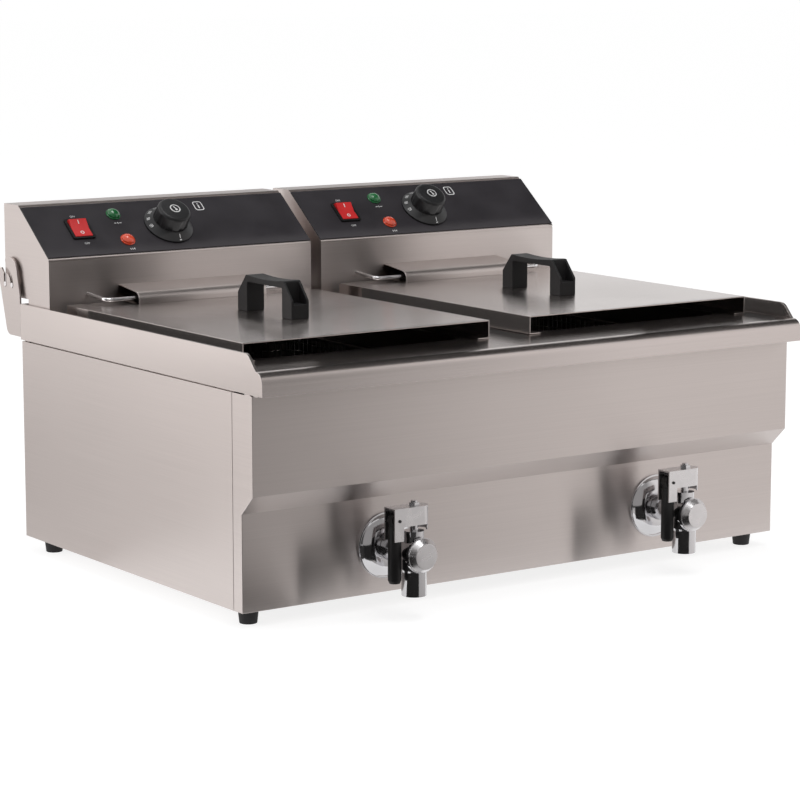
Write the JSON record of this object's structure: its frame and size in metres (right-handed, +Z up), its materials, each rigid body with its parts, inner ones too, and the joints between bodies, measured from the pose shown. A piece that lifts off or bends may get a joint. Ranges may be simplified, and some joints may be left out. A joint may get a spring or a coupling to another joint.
{
  "type": "countertop deep fryer",
  "caption": "Countertop twin deep fryer with tilting control heads, lids, baskets, heating elements and drain taps.",
  "frame": {"origin": "on the floor under the middle of the fryer's overall plan", "axes": "+X to the right seen from the front, -Y the front with the drain taps, +Z up"},
  "size_m": [0.6428, 0.5334, 0.3544],
  "materials": {
    "panel_steel": "satin",
    "deck_steel": "satin",
    "inner_steel": "satin",
    "bracket_steel": "satin",
    "tap_chrome": "polished",
    "wire_chrome": "polished",
    "screw_steel": "polished",
    "element_steel": "satin",
    "plate_black": "gloss",
    "switch_black": "gloss",
    "knob_black": "satin",
    "handle_black": "satin",
    "grip_plastic": "satin",
    "foot_rubber": "matte",
    "rocker_red": "gloss",
    "lens_green": "gloss",
    "lens_orange": "gloss"
  },
  "bodies": {
    "chassis": {"base_plate": "inner_steel", "side_panel_left": "panel_steel", "side_panel_right": "panel_steel", "front_panel": "panel_steel", "rear_panel": "panel_steel", "deck": "deck_steel", "tank_left": "inner_steel", "tank_right": "inner_steel", "foot_front_left": "foot_rubber", "foot_front_right": "foot_rubber", "foot_rear_left": "foot_rubber", "foot_rear_right": "foot_rubber", "body_screws": "screw_steel", "head_brackets": "bracket_steel", "tap_rosette_left": "tap_chrome", "tap_rosette_right": "tap_chrome", "tap_body_left": "tap_chrome", "tap_body_right": "tap_chrome", "tap_cap_left": "tap_chrome", "tap_cap_right": "tap_chrome"},
    "head_left": {"head_casing_left": "panel_steel", "head_back_left": "panel_steel", "control_plate_left": "plate_black", "switch_frame_left": "switch_black", "power_lamp_left": "lens_green", "heat_lamp_left": "lens_orange", "thermostat_left": "inner_steel", "heating_element_left": "element_steel", "element_cover_left": "panel_steel", "basket_rest_left": "wire_chrome", "cable_bush_left": "grip_plastic", "basket_left": "wire_chrome", "pivot_pins_left": "screw_steel"},
    "rocker_left": {"rocker_left": "rocker_red"},
    "knob_left": {"knob_left": "knob_black"},
    "lid_left": {"lid_left": "deck_steel", "lid_handle_left": "handle_black"},
    "tap_lever_left": {"tap_lever_left": "tap_chrome", "tap_stem_left": "tap_chrome"},
    "tap_grip_left": {"tap_grip_left": "grip_plastic"},
    "head_right": {"head_casing_right": "panel_steel", "head_back_right": "panel_steel", "control_plate_right": "plate_black", "switch_frame_right": "switch_black", "power_lamp_right": "lens_green", "heat_lamp_right": "lens_orange", "thermostat_right": "inner_steel", "heating_element_right": "element_steel", "element_cover_right": "panel_steel", "basket_rest_right": "wire_chrome", "cable_bush_right": "grip_plastic", "basket_right": "wire_chrome", "pivot_pins_right": "screw_steel"},
    "rocker_right": {"rocker_right": "rocker_red"},
    "knob_right": {"knob_right": "knob_black"},
    "lid_right": {"lid_right": "deck_steel", "lid_handle_right": "handle_black"},
    "tap_lever_right": {"tap_lever_right": "tap_chrome", "tap_stem_right": "tap_chrome"},
    "tap_grip_right": {"tap_grip_right": "grip_plastic"}
  },
  "joints": [
    {"name": "head_tilt_left", "type": "hinge", "parent": "chassis", "child": "head_left", "pos_m": [-0.163, 0.2523, 0.2712], "axis": [-1, 0, 0], "range_deg": [0, 90]},
    {"name": "lid_slide_left", "type": "slide", "parent": "head_left", "child": "lid_left", "axis": [0, -0.9962, 0.0872], "range_m": [0, 0.3]},
    {"name": "knob_turn_left", "type": "hinge", "parent": "head_left", "child": "knob_left", "pos_m": [-0.1633, 0.19242, 0.32701], "axis": [0, -0.6174, 0.7866], "range_deg": [-270, 0]},
    {"name": "rocker_tilt_left", "type": "hinge", "parent": "head_left", "child": "rocker_left", "pos_m": [-0.2656, 0.19511, 0.32747], "axis": [1, 0, 0], "range_deg": [-18, 0]},
    {"name": "lever_turn_left", "type": "hinge", "parent": "chassis", "child": "tap_lever_left", "pos_m": [-0.163, -0.2465, 0.105], "axis": [0, 0, 1], "range_deg": [0, 90]},
    {"name": "grip_fold_left", "type": "hinge", "parent": "tap_lever_left", "child": "tap_grip_left", "pos_m": [-0.1848, -0.2465, 0.0935], "axis": [0, 1, 0], "range_deg": [0, 90]},
    {"name": "head_tilt_right", "type": "hinge", "parent": "chassis", "child": "head_right", "pos_m": [0.163, 0.2523, 0.2712], "axis": [-1, 0, 0], "range_deg": [0, 90]},
    {"name": "lid_slide_right", "type": "slide", "parent": "head_right", "child": "lid_right", "axis": [0, -0.9962, 0.0872], "range_m": [0, 0.3]},
    {"name": "knob_turn_right", "type": "hinge", "parent": "head_right", "child": "knob_right", "pos_m": [0.1604, 0.19242, 0.32701], "axis": [0, -0.6174, 0.7866], "range_deg": [-270, 0]},
    {"name": "rocker_tilt_right", "type": "hinge", "parent": "head_right", "child": "rocker_right", "pos_m": [0.0581, 0.19511, 0.32747], "axis": [1, 0, 0], "range_deg": [-18, 0]},
    {"name": "lever_turn_right", "type": "hinge", "parent": "chassis", "child": "tap_lever_right", "pos_m": [0.163, -0.2465, 0.105], "axis": [0, 0, 1], "range_deg": [0, 90]},
    {"name": "grip_fold_right", "type": "hinge", "parent": "tap_lever_right", "child": "tap_grip_right", "pos_m": [0.1412, -0.2465, 0.0935], "axis": [0, 1, 0], "range_deg": [0, 90]}
  ],
  "couplings": [
    {"joint": "grip_fold_left", "follows": "lever_turn_left", "ratio": 1},
    {"joint": "grip_fold_right", "follows": "lever_turn_right", "ratio": 1}
  ]
}
